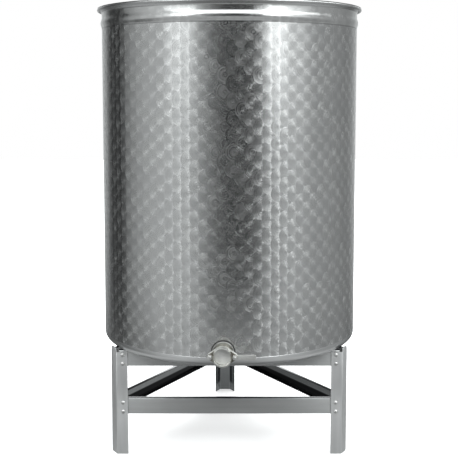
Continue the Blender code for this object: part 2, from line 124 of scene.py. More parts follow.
# Stand
STAND_CORNER = 0.4389
BACK_LEG_SHIFT = -0.017
LEG_WEB = 0.037
LEG_FLANGE = 0.034
STAND_SHEET = 0.002
FOLD_RADIUS = 0.004
STAND_EDGE = 0.0003
LEG_FLANGE_TOP = 0.319
LEG_WEB_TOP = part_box("leg_back")[1].z
WEB_TOP_ROUND = 0.008
RAIL_HEIGHT = 0.050
RAIL_FLANGE = 0.015
RAIL_INSET = 0.045
RAIL_ENDS = {"front": ("front_left", "front_right"), "right": ("front_right", "back"),
             "left": ("back", "front_left")}
RAIL_TOPS = {tier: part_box(f"{tier}_rail_front")[1].z for tier in ("upper", "lower")}
BOLT_ROWS = (0.309, 0.282, 0.161, 0.133)
BOLT_FROM_WEB = 0.0195
BOLT_TURN = 1.3  # from row to row, in radians
DOME_RADIUS = 0.0061
DOME_HEIGHT = 0.0031
SHANK_RADIUS = 0.0030
SHANK_PAST_NUT = 0.004
WASHER_RADII = (0.0032, 0.0062)
WASHER_DEPTHS = (0.0014, 0.0001)
STAND_NUT_FLATS = 0.010
STAND_NUT_HEIGHT = 0.005
STAND_NUT_GAP = 0.0016

# Valve, with distances outwards from the flat of the shell that carries it
VALVE_HEIGHT = 0.3695
VALVE_TURN = math.radians(-2.5)
CUTTER_REACH = 0.02
BORE_RADIUS = 0.019
SPIGOT_RADIUS = 0.0239
SPIGOT_BORE = SPIGOT_RADIUS + SEAT_GAP
SPIGOT_ENDS = (-0.017, 0.028)
SPIGOT_THREAD = 0.0023
THREAD_DEPTH = 0.6  # of its pitch
GASKET_RADIUS = 0.035
GASKET_FRONT = 0.0035
GASKET_EDGE = 0.0010
RING_NUT_RADIUS = 0.0318
RING_NUT_FRONT = 0.012
RING_NUT_EDGE = 0.0009
RING_NUT_GROOVE = (
    # inwards, outwards from the nut's back
    (0.0, 0.0), (0.0, 0.0026), (0.0008, 0.0030), (0.0008, 0.0036), (0.0, 0.0040),
)
LOCK_NUT_FLATS = 0.060
LOCK_NUT_ENDS = (-0.014, -0.0063)
NECK_RADIUS = 0.026
NECK_WAIST = 0.0010  # inwards, behind the rear plate
NECK_WAIST_END = 0.004
NECK_FILLET = 0.0022
NECK_FOOT = ((0.0006, 0.0), (0.0, 0.0006), (0.0, 0.005), (NECK_WAIST, 0.007))  # inwards, outwards
PLATE_RADIUS = 0.0275
PLATE_EDGE = 0.0007
EAR_OFFSET = 0.0345
EAR_RADIUS = 0.0080
REAR_PLATE = (0.0336, 0.0393)
BORE_CHAMFER = 0.0005
BLADE = (0.0396, 0.0436)
BLADE_RADIUS = 0.0262
BLADE_EAR_RADIUS = 0.0076
BLADE_EDGE = 0.0004
BLADE_LINE = 0.0215  # half length of the raised line across the disc
BLADE_LINE_ENDS = (-0.0036, -0.0022)
BLADE_LINE_HEIGHT = 0.0002
LEVER_TIP = 0.0945
LEVER_TOP = 0.0047
LEVER_BOTTOM = -0.0097
LEVER_ROUND = 0.005
SLOT_HALF_WIDTH = 0.0052
FRONT_PLATE = (0.0439, 0.0499)
COLLAR_RADIUS = 0.0276
COLLAR_BORE = 0.0228
COLLAR_FRONT = 0.0620
COLLAR_CHAMFER = 0.0004
COLLAR_FOOT = ((0.0001, 0.00005), (0.0002, 0.0006))  # inwards, outwards from the plate
COLLAR_LIP = (
    # inwards, back from the collar's front
    (0.0002, 0.0034), (0.0, 0.0030), (0.0, 0.0012), (0.0004, 0.0004), (0.0012, 0.0),
)
COLLAR_MOUTH = ((0.0014, 0.0), (0.0004, 0.0005), (0.0, 0.0016))  # outwards from the bore, back
BOLT_RADIUS = 0.004
BOLT_THREAD = 0.00125
BOLT_HEAD_HEIGHT = 0.0052
BOLT_END = 0.0592
NUT_FLATS = 0.013
NUT_HEIGHT = 0.0066

FACET_RADIUS = SHELL_RADIUS * math.cos(math.pi / CAD_FACETS)
AXIS = Matrix.Translation((0, TANK_Y, 0))
VALVE = (AXIS @ Matrix.Rotation(VALVE_TURN, 4, "Z") @ Matrix.Translation((0, -FACET_RADIUS, VALVE_HEIGHT))
         @ Matrix.Rotation(math.radians(90), 4, "X"))

# Camera, fitted to the photograph's frame
PICTURE = 458
FOCAL_PIXELS = 935.6
EYE_DISTANCE = 2.993
EYE_HEIGHT = 1.1079
EYE_TILT = math.radians(5.405)
SHIFT_PIXELS = (-0.35, -50.0)
SENSOR = 36.0


# Outlines

def arc(centre, radius, start, end, steps):
    """Points along a circle from one angle to another, in degrees."""
    angles = [math.radians(start + (end - start) * i / steps) for i in range(steps + 1)]
    return [(centre[0] + radius * math.cos(a), centre[1] + radius * math.sin(a)) for a in angles]


def sheet_outline(path, thickness):
    """Closed outline of a sheet whose middle follows the path."""
    points = [Vector(p) for p in path]
    steps = [(b - a).normalized() for a, b in zip(points, points[1:])]
    left, right = [], []
    for i, point in enumerate(points):
        before = steps[max(i - 1, 0)]
        after = steps[min(i, len(steps) - 1)]
        along = (before + after).normalized()
        offset = Vector((-along.y, along.x)) * thickness / 2 / along.dot(after)
        left.append(tuple(point + offset))
        right.append(tuple(point - offset))
    return left + right[::-1]


def rounded(corners, radius, steps=4):
    """Closed outline with each of its corners rounded."""
    points = []
    for i in range(len(corners)):
        corner = Vector(corners[i])
        back = Vector(corners[i - 1]) - corner
        ahead = Vector(corners[(i + 1) % len(corners)]) - corner
        half = back.angle(ahead) / 2
        reach = min(radius / math.tan(half), back.length * 0.49, ahead.length * 0.49)
        start = corner + back.normalized() * reach
        end = corner + ahead.normalized() * reach
        for t in shares(steps):
            points.append(tuple(start * (1 - t) ** 2 + corner * 2 * t * (1 - t) + end * t ** 2))
    return points


def shares(steps):
    """Evenly spaced numbers from 0 to 1."""
    return [i / steps for i in range(steps + 1)]


def smooth_step(share):
    """Half a cosine from 0 to 1."""
    return (1 - math.cos(math.pi * share)) / 2


def rectangle(left, right, low, high):
    """Outline of a rectangle."""
    return [(left, low), (right, low), (right, high), (left, high)]


def plate_edge(cut):
    """Distance from the middle to the edge of a round plate with two ears, by angle, less a cut."""
    tangent = math.acos((PLATE_RADIUS - EAR_RADIUS) / EAR_OFFSET)
    ear_angle = math.atan2(EAR_RADIUS * math.sin(tangent), EAR_OFFSET + EAR_RADIUS * math.cos(tangent))

    def radius(angle):
        folded = abs(math.atan2(math.sin(angle), abs(math.cos(angle))))
        if folded >= tangent:
            return PLATE_RADIUS - cut
        if folded >= ear_angle:
            return PLATE_RADIUS / math.cos(folded - tangent) - cut
        across = EAR_OFFSET * math.sin(folded)
        return EAR_OFFSET * math.cos(folded) + math.sqrt(EAR_RADIUS ** 2 - across ** 2) - cut

    return radius


# Meshes

def grid_mesh(rows, wrap_rows=False):
    """Body from rows of points, each row closed on itself."""
    bm = bmesh.new()
    rings = [[bm.verts.new(p) for p in row] for row in rows]
    pairs = list(zip(rings, rings[1:]))
    if wrap_rows:
        pairs.append((rings[-1], rings[0]))
    for lower, upper in pairs:
        count = len(lower)
        for i in range(count):
            j = (i + 1) % count
            bm.faces.new((lower[i], lower[j], upper[j], upper[i]))
    bmesh.ops.remove_doubles(bm, verts=bm.verts, dist=1e-7)
    bmesh.ops.dissolve_degenerate(bm, edges=bm.edges, dist=1e-8)
    return bm


def cap(bm):
    """Close the open ends of a body."""
    bmesh.ops.holes_fill(bm, edges=[e for e in bm.edges if e.is_boundary])
    return bm


def ring(radius, height, segments):
    """Points round Z; the radius and the height may follow the angle."""
    points = []
    for i in range(segments):
        angle = 2 * math.pi * i / segments
        r = radius(angle) if callable(radius) else radius
        z = height(angle) if callable(height) else height
        points.append((r * math.cos(angle), r * math.sin(angle), z))
    return points


def turned(outline, segments):
    """Body turned about Z from a closed outline of radii and heights."""
    return grid_mesh([ring(radius, height, segments) for radius, height in outline], wrap_rows=True)


def hex_body(flats, low, high, bore, segments=72):
    """Nut or bolt head, its corners turned down on both faces; a bore of 0 leaves it solid."""
    half = flats / 2

    def edge(angle):
        return half / math.cos(angle % (math.pi / 3) - math.pi / 6)

    def drop(angle):
        return (edge(angle) - half) * HEX_SLOPE + HEX_DROP

    relief = HEX_RELIEF if bore else 0.0
    return turned([
        (bore, low + relief), (bore + relief, low), (half * HEX_FACE, low), (edge, lambda a: low + drop(a)),
        (edge, lambda a: high - drop(a)), (half * HEX_FACE, high), (bore + relief, high),
        (bore, high - relief),
    ], segments)


def threaded_rod(radius, pitch, low, high, bore=0.0, segments=48):
    """Rod or tube with a helical thread on its outside and chamfered ends."""
    cut = pitch * THREAD_DEPTH / 2
    root = radius - 2 * cut
    count = max(8, round((high - low) / pitch * 6))
    rows = [ring(bore, low, segments), ring(root, low, segments)]
    for k in range(1, count):
        z = low + (high - low) * k / count
        end = min(z - low, high - z)

        def crest(angle):
            turn = (z / pitch - angle / (2 * math.pi)) % 1
            return min(radius - cut * (1 + math.cos(2 * math.pi * turn)), root + end)

        rows.append(ring(crest, z, segments))
    rows += [ring(root, high, segments), ring(bore, high, segments)]
    return grid_mesh(rows, wrap_rows=bore > 0)


def extrude_faces(bm, faces, move):
    """Extrude faces along a vector and return the moved faces."""
    made = bmesh.ops.extrude_face_region(bm, geom=faces)["geom"]
    bmesh.ops.translate(bm, verts=[v for v in made if isinstance(v, bmesh.types.BMVert)], vec=move)
    return [f for f in made if isinstance(f, bmesh.types.BMFace)]


def prism(outline, low, high):
    """Body extruded along Z from a closed XY outline."""
    bm = bmesh.new()
    verts = [bm.verts.new((x, y, low)) for x, y in outline]
    bmesh.ops.remove_doubles(bm, verts=verts, dist=1e-6)
    face = bm.faces.new(list(bm.verts))
    extrude_faces(bm, [face], (0, 0, high - low))
    return bm


def soften(bm, width, degrees=50, segments=2):
    """Round every edge that is sharper than the given angle."""
    bmesh.ops.recalc_face_normals(bm, faces=bm.faces)
    limit = math.radians(degrees)
    edges = [e for e in bm.edges if len(e.link_faces) == 2 and e.calc_face_angle() > limit]
    bmesh.ops.bevel(bm, geom=edges, offset=width, segments=segments, profile=0.5, affect="EDGES",
                    clamp_overlap=True)
    return bm


def to_mesh(bm, name):
    """Turn a body into a mesh."""
    mesh = bpy.data.meshes.new(name)
    bm.to_mesh(mesh)
    bm.free()
    return mesh


def add_object(name, data):
    """Object in the scene."""
    obj = bpy.data.objects.new(name, data)
    bpy.context.scene.collection.objects.link(obj)
    return obj


def add_body(bm, other):
    """Add another body's mesh to a body."""
    bmesh.ops.recalc_face_normals(other, faces=other.faces)
    mesh = to_mesh(other, "added")
    bm.from_mesh(mesh)
    bpy.data.meshes.remove(mesh)
    return bm


def cut_out(bm, tool):
    """Body with another one cut out of it."""
    objects = []
    for body in (bm, tool):
        bmesh.ops.recalc_face_normals(body, faces=body.faces)
        objects.append(add_object("operand", to_mesh(body, "operand")))
    modifier = objects[0].modifiers.new("cut", "BOOLEAN")
    modifier.operation = "DIFFERENCE"
    modifier.object = objects[1]
    modifier.solver = "EXACT"
    depsgraph = bpy.context.evaluated_depsgraph_get()
    result = bmesh.new()
    result.from_mesh(objects[0].evaluated_get(depsgraph).to_mesh())
    for obj in objects:
        mesh = obj.data
        bpy.data.objects.remove(obj)
        bpy.data.meshes.remove(mesh)
    return result


def piece(name, bm, finishes, replaces=(), place=AXIS, second=None, body="tank"):
    """Finished piece riding on a body; a test of centre and normal picks the second finish's faces."""
    bmesh.ops.recalc_face_normals(bm, faces=bm.faces)
    if second:
        for face in bm.faces:
            face.material_index = int(second(face.calc_center_median(), face.normal))
    mesh = to_mesh(bm, name)
    mesh.shade_smooth()
    mesh.set_sharp_from_angle(angle=math.radians(SHARP_DEGREES))
    for finish in finishes:
        mesh.materials.append(FINISHES[finish])
    obj = add_object(name, mesh)
    obj.matrix_world = place
    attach(obj, body)
    if replaces:
        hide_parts(*replaces)


# Node graphs

class Graph:
    """Short forms for the nodes of a material or world."""

    def __init__(self, tree):
        self.tree = tree
        tree.nodes.clear()

    def fill(self, node, inputs):
        """Link or set a node's inputs, by name or by number."""
        for key, value in dict(inputs).items():
            if isinstance(value, bpy.types.NodeSocket):
                self.tree.links.new(value, node.inputs[key])
            else:
                node.inputs[key].default_value = value

    def node(self, kind, inputs=(), **settings):
        """New node with its settings and inputs."""
        node = self.tree.nodes.new("ShaderNode" + kind)
        for key, value in settings.items():
            setattr(node, key, value)
        self.fill(node, inputs)
        return node

    def math(self, operation, *values):
        """Math node."""
        return self.node("Math", enumerate(values), operation=operation).outputs[0]

    def times(self, a, b):
        """Product of two numbers."""
        return self.math("MULTIPLY", a, b)

    def length(self, a, b):
        """Length of a vector in a plane."""
        return self.math("SQRT", self.math("MULTIPLY_ADD", a, a, self.times(b, b)))

    def azimuth(self, x, y):
        """Angle round Z from -Y, in radians."""
        return self.math("ARCTAN2", x, self.times(y, -1.0))

    def weighed(self, a, b, share):
        """Sum of two numbers, the first by its share and the second by the rest."""
        return self.math("ADD", self.times(a, share), self.times(b, 1 - share))

    def spread(self, value, middle, width):
        """Number that varies about a middle."""
        return self.math("MULTIPLY_ADD", value, width, middle - width / 2)

    def mix(self, share, a, b):
        """Mix of two numbers."""
        return self.node("Mix", {0: share, 2: a, 3: b}, data_type="FLOAT").outputs[0]

    def tone(self, share, a, b):
        """Mix of two colours; a colour of three numbers is opaque."""
        ends = [(*end, 1.0) if isinstance(end, tuple) else end for end in (a, b)]
        return self.node("Mix", {0: share, 6: ends[0], 7: ends[1]}, data_type="RGBA").outputs[2]

    def patchy(self, shade, low, high):
        """Mix of two colours in patches."""
        return self.tone(self.step(shade, 0.3, 0.7), low, high)

    def vector(self, operation, a, b):
        """Vector math node."""
        return self.node("VectorMath", {0: a, 1: b}, operation=operation).outputs[0]

    def scaled(self, vector, scale):
        """Vector times a number."""
        return self.node("VectorMath", {0: vector, "Scale": scale}, operation="SCALE").outputs[0]

    def combine(self, *values):
        """Vector from three numbers."""
        return self.node("CombineXYZ", enumerate(values)).outputs[0]

    def separate(self, value):
        """Three numbers of a vector."""
        return self.node("SeparateXYZ", {0: value}).outputs

    def step(self, value, low, high, start=0.0, end=1.0):
        """Smooth step of a value between two limits."""
        limits = enumerate((value, low, high, start, end))
        return self.node("MapRange", limits, interpolation_type="SMOOTHSTEP").outputs[0]

    def fall(self, value, low, high):
        """1 below two limits, 0 above them."""
        return self.step(value, low, high, 1.0, 0.0)

    def window(self, value, low, high, edge):
        """1 between two limits, 0 outside them, with soft edges."""
        rise = self.step(value, low - edge, low + edge)
        return self.times(rise, self.fall(value, high - edge, high + edge))

    def round_tangent(self):
        """Direction round the piece's own Z axis."""
        return self.node("Tangent", direction_type="RADIAL", axis="Z").outputs[0]

    def noise(self, position, scale, detail=3.0, roughness=0.5, stretch=None):
        """Noise between 0 and 1."""
        if stretch:
            position = self.vector("MULTIPLY", position, stretch)
        inputs = {"Vector": position, "Scale": scale, "Detail": detail, "Roughness": roughness}
        return self.node("TexNoise", inputs).outputs[0]

    def bump(self, height, distance, **below):
        """Bump from a height in metres times a distance, over another one."""
        inputs = {"Strength": 1.0, "Distance": distance, "Height": height, **below}
        return self.node("Bump", inputs).outputs[0]


def new_material(name, finish, *settings):
    """Material whose finish makes the inputs of its shader."""
    mat = bpy.data.materials.new(name)
    mat.use_nodes = True
    graph = Graph(mat.node_tree)
    position = graph.node("TexCoord").outputs["Object"]
    shader = graph.node("BsdfPrincipled", finish(graph, position, *settings))
    graph.node("OutputMaterial", {"Surface": shader.outputs[0]})
    return mat


# Finishes

MARBLED_CLOUDS = 9.0  # scales of noise, per metre
BRUSHED_CLOUDS = 7.0
SHEET_CLOUDS = 11.0
SHEET_STREAKS = 90.0
TURNED_CLOUDS = 60.0
FINE_GRAIN = 700.0
GRAIN_STRETCH = 0.04
GRAIN_RELIEF = 0.00003
POLISH_RELIEF = 0.000004
SHEET_DENTS = 0.0006
TURNED_DENTS = 0.0004
MARBLED_CHANCE = 0.4  # share of a spot's own tone in its colour
# painted highlight: a light tone along each spot's rim
SPOT_RIM_HIGHLIGHT_TONE = (0.85, 0.85, 0.85)
SPOT_RIM_HIGHLIGHT_SHARE = 0.35
RINGS = 2500.0  # scratches round a spot, per metre
RING_SEEDS = 50.0
SCRATCH_EDGES = (0.44, 0.56)
SCRATCH_RELIEF = 0.3
ROUGH_SCRATCHED = 0.27
ROUGH_SPREAD = 0.06
ROUGH_POLISHED = 0.13
TURNING = (0.3, 1.0)  # anisotropy of the polished and the scratched steel
LID_ROUGHER = 0.20
NECK_START = (BEAD_LOW - 0.004, BEAD_LOW + 0.008)
NECK_TONE = (0.74, 0.745, 0.74)
NECK_TONE_SHARE = 0.8
NECK_ROUGHNESS = 0.20
NECK_TURNING = 0.75
NECK_WORN = 0.6  # how far the neck has lost its spots
FOOT_SHADE_HEIGHT = BEAD_LOW + 0.0015  # of the painted shade line along the bead's foot
FOOT_SHADE_LINE = (0.0004, 0.0026, 0.45, 0.0)  # from its middle, to its edge, strength at each
FOOT_SHADE_TONE = (0.10, 0.10, 0.10)
# painted shade: a nearly black tone over the lower half of the rails' inner webs and along their tops
PAINTED_SHADE_TONE = (0.03, 0.03, 0.032)
PAINTED_SHADE_BANDS = [(top - RAIL_HEIGHT, top - RAIL_HEIGHT / 2, 0.002) for top in RAIL_TOPS.values()]
PAINTED_SHADE_BANDS += [(top - 0.0015, top + 0.01, 0.0004) for top in RAIL_TOPS.values()]

MARBLED = {
    # name: on the wall, dark and light tone, tint of what it mirrors at a low angle
    "marbled": (True, ((0.56, 0.565, 0.565), (0.66, 0.665, 0.66)), (1.0, 1.0, 1.0, 1.0)),
    # the lid's tones, darker than the wall's, are painted shade on its up-facing top
    "marbled_lid": (False, ((0.36, 0.365, 0.365), (0.52, 0.525, 0.52)), (0.25, 0.25, 0.25, 1.0)),
}
BRUSHED = {
    # name: dark tone, light tone, roughness, its spread, scale of the grain, its squeeze upwards, painted
    # shade bands
    "smooth": ((0.56, 0.565, 0.565), (0.63, 0.635, 0.635), 0.28, 0.10, 8.0, 14.0),
    "band": ((0.70, 0.705, 0.705), (0.78, 0.785, 0.785), 0.32, 0.10, 8.0, 14.0),
    # unpolished mill sheet; its dark tones are partly painted shade on the legs' inner and upward faces
    "mill_and_shade_sheet": ((0.34, 0.35, 0.355), (0.40, 0.41, 0.415), 0.10, 0.06, 30.0, 1.0),
    "shaded_sheet": ((0.51, 0.52, 0.525), (0.59, 0.60, 0.605), 0.16, 0.06, 30.0, 1.0, PAINTED_SHADE_BANDS),
}
GRAINED = {
    # name: dark tone, light tone, roughness, metallic, upright
    "upright_sheet": ((0.72, 0.725, 0.725), (0.80, 0.805, 0.805), 0.36, 0.88, True),
    "level_sheet": ((0.41, 0.415, 0.415), (0.47, 0.475, 0.475), 0.42, 0.9, False),
}
TURNED = {
    # name: dark tone, light tone, roughness, pitch of the tool marks
    "machined": ((0.62, 0.62, 0.59), (0.74, 0.74, 0.71), 0.30, 0.0006),
    # rough cast surface; its dark tones are partly painted shade in the neck's recess and round the ear nuts
    "cast_and_shade": ((0.20, 0.19, 0.165), (0.36, 0.35, 0.31), 0.55, 0.0006),
    # the face's light tones are painted light, lifting it at the bottom of the collar's recess
    "blade_face": ((0.80, 0.80, 0.785), (0.90, 0.90, 0.885), 0.50, 0.0009),
    "lever": ((0.72, 0.72, 0.70), (0.84, 0.84, 0.82), 0.40, 0.0006),
    "dull": ((0.44, 0.44, 0.42), (0.55, 0.55, 0.53), 0.30, 0.0006),
    "dome": ((0.60, 0.60, 0.59), (0.70, 0.70, 0.69), 0.42, 0.0006),
    "bright": ((0.80, 0.80, 0.78), (0.88, 0.88, 0.86), 0.36, 0.0005),
}
MOULDED = {
    # name: dark tone, light tone, scale of the clouds, scale of the skin, its detail, roughness, relief
    "rubber": ((0.018, 0.018, 0.018), (0.045, 0.044, 0.042), 80.0, 1200.0, 3.0, 0.7, 0.0001),
    "plastic": ((0.27, 0.28, 0.29), (0.34, 0.35, 0.36), 40.0, 1500.0, 2.0, 0.5, 0.00005),
}


def lattice(graph, position, on_wall):
    """Lattice of the spots: place in it, its pitches, and its two directions in space."""
    x, y, z = graph.separate(position)
    if not on_wall:
        place = [graph.math("DIVIDE", value, LID_PITCH) for value in (x, y)]
        return place, (LID_PITCH, LID_PITCH), ((1.0, 0.0, 0.0), (0.0, 1.0, 0.0))
    azimuth = graph.math("WRAP", graph.azimuth(x, y), SEAM_AZIMUTH, SEAM_AZIMUTH - 2 * math.pi)
    u = graph.math("MULTIPLY_ADD", azimuth, SHELL_RADIUS / SPOT_SPACING, -SPOT_TURN)
    v = graph.math("MULTIPLY_ADD", z, 1 / SPOT_PITCH, -SPOT_LIFT)
    v = graph.math("MULTIPLY_ADD", azimuth, -SPOT_SKEW, v)
    across = graph.combine(graph.math("COSINE", azimuth), graph.math("SINE", azimuth), 0.0)
    return (u, v), (SPOT_SPACING, SPOT_PITCH), (across, (0.0, 0.0, 1.0))


def spot_choice(graph, place, pitches):
    """Polishing spot that lies on top: the way from its centre to the point, and its own number.

    Spots stand on two interleaved lattices. Each column was pressed after the one beside it,
    so it lies over it.
    """
    found = []
    for rounding, offset in (("ROUND", 0.0), ("FLOOR", 0.5)):
        centre = [graph.math("ADD", graph.math(rounding, value), offset) for value in place]
        seed = {"Vector": graph.combine(*centre, 0.0)}
        chance = graph.node("TexWhiteNoise", seed, noise_dimensions="2D")
        shifts = graph.separate(chance.outputs["Color"])
        way = []
        for value, middle, pitch, shift in zip(place, centre, pitches, shifts):
            away = graph.times(graph.math("SUBTRACT", value, middle), pitch)
            way.append(graph.math("ADD", away, graph.spread(shift, 0.0, 2 * SPOT_JITTER)))
        found.append((centre[0], *way, graph.length(*way), chance.outputs["Value"]))
    whole, half = found
    in_whole, in_half = (graph.math("LESS_THAN", spot[3], SPOT_RADIUS) for spot in found)
    later = graph.math("GREATER_THAN", half[0], whole[0])
    free = graph.math("MAXIMUM", graph.math("SUBTRACT", 1.0, in_whole), later)
    use_half = graph.times(in_half, free)
    return [graph.mix(use_half, a, b) for a, b in zip(whole[1:], half[1:])]


def worn_neck_and_foot_shade(graph, z, colour, rough, turning):
    """Wall's colour and gloss with fainter spots above the bead's foot, and a painted shade line along it."""
    faint = graph.step(z, *NECK_START)
    colour = graph.tone(graph.times(faint, NECK_TONE_SHARE), colour, NECK_TONE)
    foot = graph.math("ABSOLUTE", graph.math("SUBTRACT", z, FOOT_SHADE_HEIGHT))
    # painted shade: a dark line in the crease along the bead's foot
    colour = graph.tone(graph.step(foot, *FOOT_SHADE_LINE), colour, FOOT_SHADE_TONE)
    worn = graph.times(faint, NECK_WORN)
    return colour, graph.mix(worn, rough, NECK_ROUGHNESS), graph.mix(worn, turning, NECK_TURNING)


def marbled_finish(graph, position, on_wall, tones, slant):
    """Steel polished in overlapping round spots, on the wall or, in plan, on the lid."""
    place, pitches, ways = lattice(graph, position, on_wall)
    *offset, reach, chance = spot_choice(graph, place, pitches)
    radial = [graph.scaled(way, graph.math("DIVIDE", value, reach)) for way, value in zip(ways, offset)]
    circle = graph.combine(graph.times(reach, RINGS), graph.times(chance, RING_SEEDS), 0.0)
    scratch = graph.node("TexNoise", {"Vector": circle, "Scale": 1.0}, noise_dimensions="2D").outputs[0]
    scratched = graph.step(scratch, *SCRATCH_EDGES)
    rim = graph.step(reach, SPOT_RADIUS - SPOT_RIM, SPOT_RADIUS)
    shade = graph.weighed(chance, graph.noise(position, MARBLED_CLOUDS, 4.0), MARBLED_CHANCE)
    # painted highlight along each spot's rim
    colour = graph.tone(graph.times(rim, SPOT_RIM_HIGHLIGHT_SHARE), graph.tone(shade, *tones), SPOT_RIM_HIGHLIGHT_TONE)
    rough = graph.mix(scratched, ROUGH_POLISHED, graph.spread(chance, ROUGH_SCRATCHED, ROUGH_SPREAD))
    turning = graph.mix(scratched, *TURNING)
    if on_wall:
        colour, rough, turning = worn_neck_and_foot_shade(graph, graph.separate(position)[2], colour, rough, turning)
    else:
        rough = graph.math("ADD", rough, LID_ROUGHER)
    relief = graph.math("ADD", graph.times(scratch, SCRATCH_RELIEF), rim)
    return {
        "Base Color": colour, "Roughness": rough, "Metallic": 1.0, "Specular Tint": slant,
        "Anisotropic": turning, "Tangent": graph.vector("ADD", *radial),
        "Normal": graph.bump(relief, POLISH_RELIEF),
    }


def brushed_finish(graph, position, low, high, roughness, spread, scale, squeeze, shade_bands=()):
    """Satin or brushed steel, with painted shade, nearly black, between the given heights."""
    grain = graph.noise(position, scale, 5.0, 0.6, (1.0, 1.0, squeeze))
    shade = graph.weighed(grain, graph.noise(position, BRUSHED_CLOUDS), 0.5)
    colour = graph.patchy(shade, low, high)
    z = graph.separate(position)[2]
    # painted shade laid over the sheet's colour in each band
    for band in shade_bands:
        colour = graph.tone(graph.window(z, *band), colour, PAINTED_SHADE_TONE)
    return {
        "Base Color": colour, "Roughness": graph.spread(grain, roughness, spread), "Metallic": 1.0,
        "Normal": graph.bump(grain, GRAIN_RELIEF),
    }


def grained_finish(graph, position, low, high, roughness, metallic, upright):
    """Dull rolled sheet with its grain upright on the legs or level on the rails."""
    stretch = (1.0, 1.0, GRAIN_STRETCH) if upright else (GRAIN_STRETCH, GRAIN_STRETCH, 1.0)
    grain = graph.noise(position, FINE_GRAIN, 4.0, 0.6, stretch)
    cloud = graph.noise(position, SHEET_CLOUDS, 4.0)
    shade = graph.weighed(graph.noise(position, SHEET_STREAKS, 3.0, 0.6, stretch), cloud, 0.6)
    return {
        "Base Color": graph.patchy(shade, low, high), "Roughness": graph.spread(grain, roughness, 0.16),
        "Metallic": metallic, "Anisotropic": 0.85,
        "Tangent": graph.round_tangent() if upright else graph.combine(0.0, 0.0, 1.0),
        "Normal": graph.bump(grain, GRAIN_RELIEF, Normal=graph.bump(cloud, SHEET_DENTS)),
    }


def turned_finish(graph, position, low, high, roughness, pitch):
    """Steel turned on a lathe, its tool marks running round the piece's own Z axis."""
    x, y, z = graph.separate(position)
    marks = graph.math("SINE", graph.times(graph.math("ADD", graph.length(x, y), z), 2 * math.pi / pitch))
    cloud = graph.noise(position, TURNED_CLOUDS, 4.0)
    return {
        "Base Color": graph.patchy(cloud, low, high), "Metallic": 1.0,
        "Roughness": graph.spread(graph.noise(position, FINE_GRAIN, 2.0), roughness, 0.14),
        "Anisotropic": 0.55, "Tangent": graph.round_tangent(),
        "Normal": graph.bump(marks, POLISH_RELIEF, Normal=graph.bump(cloud, TURNED_DENTS)),
    }


def moulded_finish(graph, position, low, high, clouds, skin_scale, detail, roughness, relief):
    """Matt black rubber with dust in its pores, or grey plastic with a spark-eroded skin."""
    skin = graph.noise(position, skin_scale, detail)
    return {
        "Base Color": graph.tone(graph.noise(position, clouds), low, high),
        "Roughness": graph.spread(skin, roughness, 0.2), "Normal": graph.bump(skin, relief),
    }


FINISHES = {
    name: new_material(name, finish, *settings)
    for finish, table in ((marbled_finish, MARBLED), (brushed_finish, BRUSHED), (grained_finish, GRAINED),
                          (turned_finish, TURNED), (moulded_finish, MOULDED))
    for name, settings in table.items()
}


# Tank

def shell_path():
    """Middle of the wall's sheet, from the bottom seam to the end of the rolled rim."""
    radius = SHELL_RADIUS - SHEET / 2
    path = [(radius, BAND_TOP + SEAT_GAP), (radius, BAND_TOP + 0.01)]
    for share in shares(20):
        path.append((radius + BEAD_DEPTH * smooth_step(2 * share), BEAD_LOW + (BEAD_HIGH - BEAD_LOW) * share))
    curl_middle = CURL_RADIUS - SHEET / 2
    centre = (SHELL_RADIUS + CURL_OFFSET, RIM_TOP - CURL_RADIUS)
    flare = centre[0] - curl_middle - radius
    for share in shares(8):
        path.append((radius + flare * smooth_step(share), NECK_TOP + (centre[1] - NECK_TOP) * share))
    return path + arc(centre, curl_middle, 180, CURL_END_DEGREES, 22)[1:]


def off_marbling(centre, normal):
    """Whether a face isn't on the wall's outer side, below the rim."""
    plan = Vector((centre.x, centre.y, 0))
    on_wall = plan.length < SHELL_RADIUS + BEAD_DEPTH + 0.002 and centre.z < NECK_TOP + 0.003
    return not (on_wall and normal.dot(plan.normalized()) > FACING)


def outlet_cutter():
    """Body of the hole for the outlet's stub."""
    hole = turned(rectangle(0, SPIGOT_BORE, -CUTTER_REACH, CUTTER_REACH), 64)
    hole.transform(AXIS.inverted() @ VALVE)
    return hole


def make_wall():
    """Wall with its bead and rolled rim."""
    wall = cut_out(turned(sheet_outline(shell_path(), SHEET), ROUND), outlet_cutter())
    piece("wall", wall, ["marbled", "smooth"], ["tank_shell"], second=off_marbling)


def make_seam():
    """Upright welded seam of the wall."""
    rows = []
    low = BAND_TOP + 0.002
    rise = (NECK_TOP - 0.001 - low) / (SEAM_ROWS - 1)
    for k in range(SEAM_ROWS):
        z = k * rise + low
        share = min(max((z - BEAD_LOW) / (BEAD_HIGH - BEAD_LOW), 0), 1)
        foot = SHELL_RADIUS - SEAM_SINK + BEAD_DEPTH * smooth_step(2 * share)
        height = SEAM_HEIGHT * (0.8 + 0.2 * math.cos(z * 2 * math.pi / SEAM_RIPPLE))
        row = []
        for share in shares(8):
            angle = SEAM_AZIMUTH + SEAM_WIDTH / SHELL_RADIUS * (share - 0.5)
            r = foot + height * math.sin(math.pi * share)
            row.append((r * math.sin(angle), -r * math.cos(angle), z))
        rows.append(row + [(x * 0.999, y * 0.999, z) for x, y, z in row[::-1]])
    piece("wall_seam", cap(grid_mesh(rows)), ["smooth"])


def make_pan():
    """Pan under the wall, with its smooth band and rounded corner."""
    middle = SHEET / 2
    path = [(0, TANK_BASE + middle), (SHELL_RADIUS * 0.6, TANK_BASE + middle)]
    path += arc((SHELL_RADIUS - PAN_CORNER, TANK_BASE + PAN_CORNER), PAN_CORNER - middle, -90, 0, 14)
    path.append((SHELL_RADIUS - middle, BAND_TOP))
    pan = cut_out(turned(sheet_outline(path, SHEET), ROUND), outlet_cutter())
    piece("pan", pan, ["band"], ["tank_bottom"])


